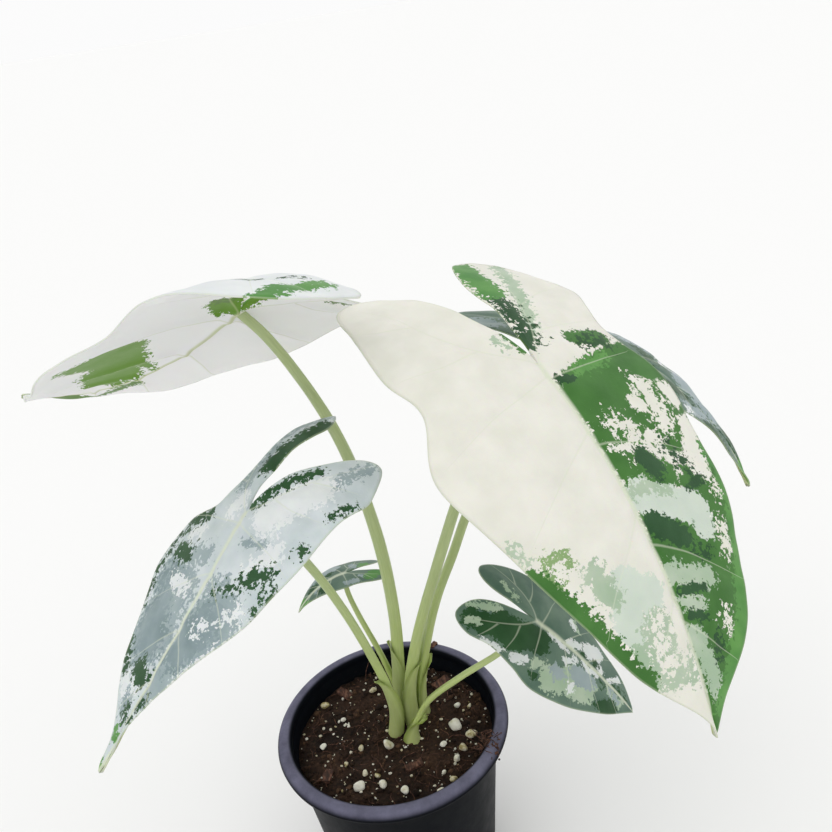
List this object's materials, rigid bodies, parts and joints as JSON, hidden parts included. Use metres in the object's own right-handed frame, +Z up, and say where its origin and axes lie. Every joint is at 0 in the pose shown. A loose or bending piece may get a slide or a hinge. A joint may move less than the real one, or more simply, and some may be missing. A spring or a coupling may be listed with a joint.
{
  "type": "potted alocasia",
  "caption": "Variegated alocasia with arrow-shaped leaves on long green stalks, growing from a round nursery pot with a rolled rim.",
  "frame": {"origin": "centre of the pot's base, on the surface the pot stands on", "axes": "+Z up along the pot's axis; -Y is the side the largest leaf leans to; +X to the right seen from there"},
  "size_m": [0.3045, 0.2131, 0.3241],
  "materials": {
    "pot_plastic": "satin",
    "soil_mix": "matte",
    "corm_skin": "matte",
    "stalk_green": "satin",
    "blade_white_green": "satin",
    "blade_cream_green": "satin",
    "blade_silver": "satin",
    "blade_dark_green": "satin",
    "blade_slate": "satin",
    "perlite": "matte",
    "bark": "matte"
  },
  "bodies": {
    "root": {"pot": "pot_plastic", "soil": "soil_mix", "corm": "corm_skin", "stalk_upper_left": "stalk_green", "stalk_large_front": "stalk_green", "stalk_lower_left": "stalk_green", "stalk_small_right": "stalk_green", "stalk_small_back": "stalk_green", "stalk_right_back": "stalk_green", "leaf_upper_left": "blade_white_green", "leaf_large_front": "blade_cream_green", "leaf_lower_left": "blade_silver", "leaf_small_right": "blade_dark_green", "leaf_small_back": "blade_dark_green", "leaf_right_back": "blade_slate", "perlite_01": "perlite", "perlite_02": "perlite", "perlite_03": "perlite", "perlite_04": "perlite", "perlite_05": "perlite", "perlite_06": "perlite", "perlite_07": "perlite", "perlite_08": "perlite", "perlite_09": "perlite", "perlite_10": "perlite", "perlite_11": "perlite", "perlite_12": "perlite", "perlite_13": "perlite", "perlite_14": "perlite", "perlite_15": "perlite", "perlite_16": "perlite", "perlite_17": "perlite", "perlite_18": "perlite", "perlite_19": "perlite", "perlite_20": "perlite", "perlite_21": "perlite", "perlite_22": "perlite", "perlite_23": "perlite", "perlite_24": "perlite", "bark_chip_1": "bark", "bark_chip_2": "bark", "bark_chip_3": "bark", "bark_chip_4": "bark"}
  },
  "joints": []
}
